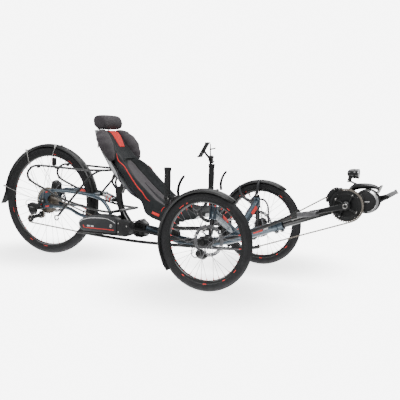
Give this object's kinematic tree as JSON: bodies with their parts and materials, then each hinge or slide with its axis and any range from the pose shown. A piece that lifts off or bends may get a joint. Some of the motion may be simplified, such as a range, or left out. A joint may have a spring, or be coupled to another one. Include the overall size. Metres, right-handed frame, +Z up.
{
  "type": "recumbent electric tricycle",
  "caption": "Recumbent tadpole tricycle with front steering, mid-drive motor on an adjustable boom, padded seat, sprung rear wheel and pannier loops.",
  "frame": {"origin": "on the ground under the middle of the overall length and width", "axes": "+X the way it rides, +Y the rider's left, +Z up"},
  "size_m": [2.4071, 0.876, 0.846],
  "materials": {
    "tyre": "matt tread",
    "rim_black": "black anodised rims, silver hubs and spokes",
    "disc_steel": "brushed",
    "black_alloy": "satin black",
    "frame_paint": "blue-grey metallic gloss",
    "black_plastic": "fine grain",
    "grey_plastic": "fine grain",
    "seat_shell": "silver lacquer",
    "seat_fabric": "woven, quilted panels",
    "grey_fabric": "woven",
    "steel": "bright",
    "alloy": "polished",
    "chain_steel": "oiled",
    "grip_rubber": "moulded ribs",
    "lamp": "black body, clear lens"
  },
  "bodies": {
    "frame": {"main_frame": "frame_paint", "rear_frame": "black_alloy", "fold_hinge": "black_alloy", "rack": "black_alloy", "tail_lamp": "lamp", "seat_shell": "seat_shell", "seat_pad": "seat_fabric", "wing_pad_left": "grey_fabric", "wing_pad_right": "grey_fabric", "battery_dock": "black_plastic", "chain_tube_upper": "black_plastic", "chain_tube_lower": "black_plastic", "cable_bundle": "black_plastic"},
    "latch": {"fold_latch": "black_alloy"},
    "headrest_posts": {"headrest_frame": "steel"},
    "headrest": {"headrest_pad": "seat_fabric"},
    "battery_pack": {"battery": "grey_plastic"},
    "boom_unit": {"boom": "black_alloy", "motor_housing": "black_alloy", "accessory_arm": "black_alloy", "chain_front": "chain_steel"},
    "shifter_cage": {"front_derailleur": "black_alloy"},
    "headlight": {"headlamp": "lamp"},
    "crankset": {"crank_right": "black_alloy", "crank_left": "black_alloy", "chainrings": "disc_steel"},
    "right_pedal": {"pedal_right": "alloy"},
    "left_pedal": {"pedal_left": "alloy"},
    "steering_bar": {"handlebar": "black_alloy", "grip_left": "grip_rubber", "grip_right": "grip_rubber"},
    "phone_holder": {"phone_cradle": "black_plastic"},
    "left_lever": {"brake_lever_left": "alloy"},
    "right_lever": {"brake_lever_right": "alloy"},
    "left_tie_rod": {"tie_rod_left": "steel"},
    "right_tie_rod": {"tie_rod_right": "steel"},
    "left_knuckle": {"knuckle_left": "black_alloy", "brake_caliper_left": "black_alloy", "mudguard_left": "black_plastic"},
    "right_knuckle": {"knuckle_right": "black_alloy", "brake_caliper_right": "black_alloy", "mudguard_right": "black_plastic"},
    "left_wheel": {"tyre_left": "tyre", "wheel_left": "rim_black", "rotor_left": "disc_steel"},
    "right_wheel": {"tyre_right": "tyre", "wheel_right": "rim_black", "rotor_right": "disc_steel"},
    "rear_wheel": {"tyre_rear": "tyre", "wheel_rear": "rim_black", "rotor_rear": "disc_steel"},
    "rear_arm": {"swing_arm": "frame_paint", "rear_derailleur": "black_alloy", "rear_mudguard": "black_plastic", "chain_rear": "chain_steel"},
    "sprockets": {"cassette": "steel"},
    "tension_cage": {"derailleur_cage": "black_alloy"},
    "idler": {"chain_idler": "black_plastic"},
    "damper_body": {"shock_body": "alloy"},
    "damper_shaft": {"shock_shaft": "alloy"}
  },
  "joints": [
    {"name": "latch_open", "type": "hinge", "parent": "frame", "child": "latch", "pos_m": [-0.199, -0.0335, 0.174], "axis": [0, 1, 0], "range_deg": [0, 100]},
    {"name": "headrest_height", "type": "slide", "parent": "frame", "child": "headrest_posts", "axis": [0.0995, 0, 0.995], "range_m": [0, 0.04]},
    {"name": "headrest_tilt", "type": "hinge", "parent": "headrest_posts", "child": "headrest", "pos_m": [-0.44386, 0, 0.77144], "axis": [0, 1, 0], "range_deg": [-15, 0]},
    {"name": "battery_release", "type": "slide", "parent": "frame", "child": "battery_pack", "axis": [-1, 0, 0], "range_m": [0, 0.06]},
    {"name": "boom_length", "type": "slide", "parent": "frame", "child": "boom_unit", "axis": [0.9367, 0, 0.3502], "range_m": [-0.04, 0.04], "deforming": ["chain_front"]},
    {"name": "front_shift", "type": "slide", "parent": "boom_unit", "child": "shifter_cage", "axis": [0, 1, 0], "range_m": [-0.002, 0.001]},
    {"name": "headlight_tilt", "type": "hinge", "parent": "boom_unit", "child": "headlight", "pos_m": [0.991, 0, 0.55], "axis": [0, 1, 0], "range_deg": [-20, 20]},
    {"name": "crank_spin", "type": "hinge", "parent": "boom_unit", "child": "crankset", "pos_m": [0.995, 0, 0.43], "axis": [0, 1, 0], "continuous": true},
    {"name": "right_pedal_spin", "type": "hinge", "parent": "crankset", "child": "right_pedal", "pos_m": [0.82717, -0.13, 0.38409], "axis": [0, 1, 0], "continuous": true},
    {"name": "left_pedal_spin", "type": "hinge", "parent": "crankset", "child": "left_pedal", "pos_m": [1.16283, 0.13, 0.47591], "axis": [0, 1, 0], "continuous": true},
    {"name": "bar_turn", "type": "hinge", "parent": "frame", "child": "steering_bar", "pos_m": [0.329, 0, 0.238], "axis": [0, 0, 1], "range_deg": [-14, 14]},
    {"name": "left_kingpin_turn", "type": "hinge", "parent": "frame", "child": "left_knuckle", "pos_m": [0.401, 0.31368, 0.375], "axis": [0, -0.2181, 0.9759], "range_deg": [-21, 21]},
    {"name": "right_kingpin_turn", "type": "hinge", "parent": "frame", "child": "right_knuckle", "pos_m": [0.401, -0.31368, 0.375], "axis": [0, 0.2181, 0.9759], "range_deg": [-21, 21]},
    {"name": "left_tie_rod_swing", "type": "hinge", "parent": "steering_bar", "child": "left_tie_rod", "pos_m": [0.269, 0.02, 0.279], "axis": [0, 0, 1], "range_deg": [-14, 14]},
    {"name": "right_tie_rod_swing", "type": "hinge", "parent": "steering_bar", "child": "right_tie_rod", "pos_m": [0.269, -0.02, 0.279], "axis": [0, 0, 1], "range_deg": [-14, 14]},
    {"name": "phone_tilt", "type": "hinge", "parent": "steering_bar", "child": "phone_holder", "pos_m": [0.118, 0.276, 0.608], "axis": [0, 1, 0], "range_deg": [-15, 15]},
    {"name": "left_lever_pull", "type": "hinge", "parent": "steering_bar", "child": "left_lever", "pos_m": [0.189, 0.276, 0.44], "axis": [0, -1, 0], "range_deg": [0, 20], "stiffness_Nm_per_rad": 2, "springref_deg": -11.46},
    {"name": "right_lever_pull", "type": "hinge", "parent": "steering_bar", "child": "right_lever", "pos_m": [0.189, -0.276, 0.44], "axis": [0, -1, 0], "range_deg": [0, 20], "stiffness_Nm_per_rad": 2, "springref_deg": -11.46},
    {"name": "left_wheel_roll", "type": "hinge", "parent": "left_knuckle", "child": "left_wheel", "pos_m": [0.401, 0.3975, 0.243], "axis": [0, 1, 0], "continuous": true},
    {"name": "right_wheel_roll", "type": "hinge", "parent": "right_knuckle", "child": "right_wheel", "pos_m": [0.401, -0.3975, 0.243], "axis": [0, 1, 0], "continuous": true},
    {"name": "rear_suspension", "type": "hinge", "parent": "frame", "child": "rear_arm", "pos_m": [-0.334, 0, 0.25], "axis": [0, 1, 0], "range_deg": [0, 7], "stiffness_Nm_per_rad": 1200, "springref_deg": -6.88, "deforming": ["chain_rear"]},
    {"name": "rear_wheel_roll", "type": "hinge", "parent": "rear_arm", "child": "rear_wheel", "pos_m": [-0.826, 0, 0.3265], "axis": [0, 1, 0], "continuous": true},
    {"name": "sprocket_spin", "type": "hinge", "parent": "rear_arm", "child": "sprockets", "pos_m": [-0.826, 0, 0.3265], "axis": [0, 1, 0], "continuous": true},
    {"name": "cage_swing", "type": "hinge", "parent": "rear_arm", "child": "tension_cage", "pos_m": [-0.884, -0.05, 0.256], "axis": [0, -1, 0], "range_deg": [0, 20], "stiffness_Nm_per_rad": 1.5, "springref_deg": -14.9},
    {"name": "idler_spin", "type": "hinge", "parent": "frame", "child": "idler", "pos_m": [-0.334, 0, 0.25], "axis": [0, 1, 0], "continuous": true},
    {"name": "damper_swing", "type": "hinge", "parent": "frame", "child": "damper_body", "pos_m": [-0.367, 0, 0.356], "axis": [0, 1, 0], "range_deg": [0, 13]},
    {"name": "damper_stroke", "type": "slide", "parent": "damper_body", "child": "damper_shaft", "axis": [-0.9404, 0, 0.3401], "range_m": [-0.0115, 0]}
  ],
  "couplings": [
    {"joint": "left_kingpin_turn", "follows": "bar_turn", "ratio": 1.5},
    {"joint": "right_kingpin_turn", "follows": "bar_turn", "ratio": 1.5},
    {"joint": "left_tie_rod_swing", "follows": "bar_turn", "ratio": -1},
    {"joint": "right_tie_rod_swing", "follows": "bar_turn", "ratio": -1},
    {"joint": "sprocket_spin", "follows": "crank_spin", "ratio": 2.076},
    {"joint": "idler_spin", "follows": "crank_spin", "ratio": -2.56},
    {"joint": "damper_swing", "follows": "rear_suspension", "ratio": 1.75},
    {"joint": "damper_stroke", "follows": "rear_suspension", "m_per_rad": -0.0825}
  ]
}
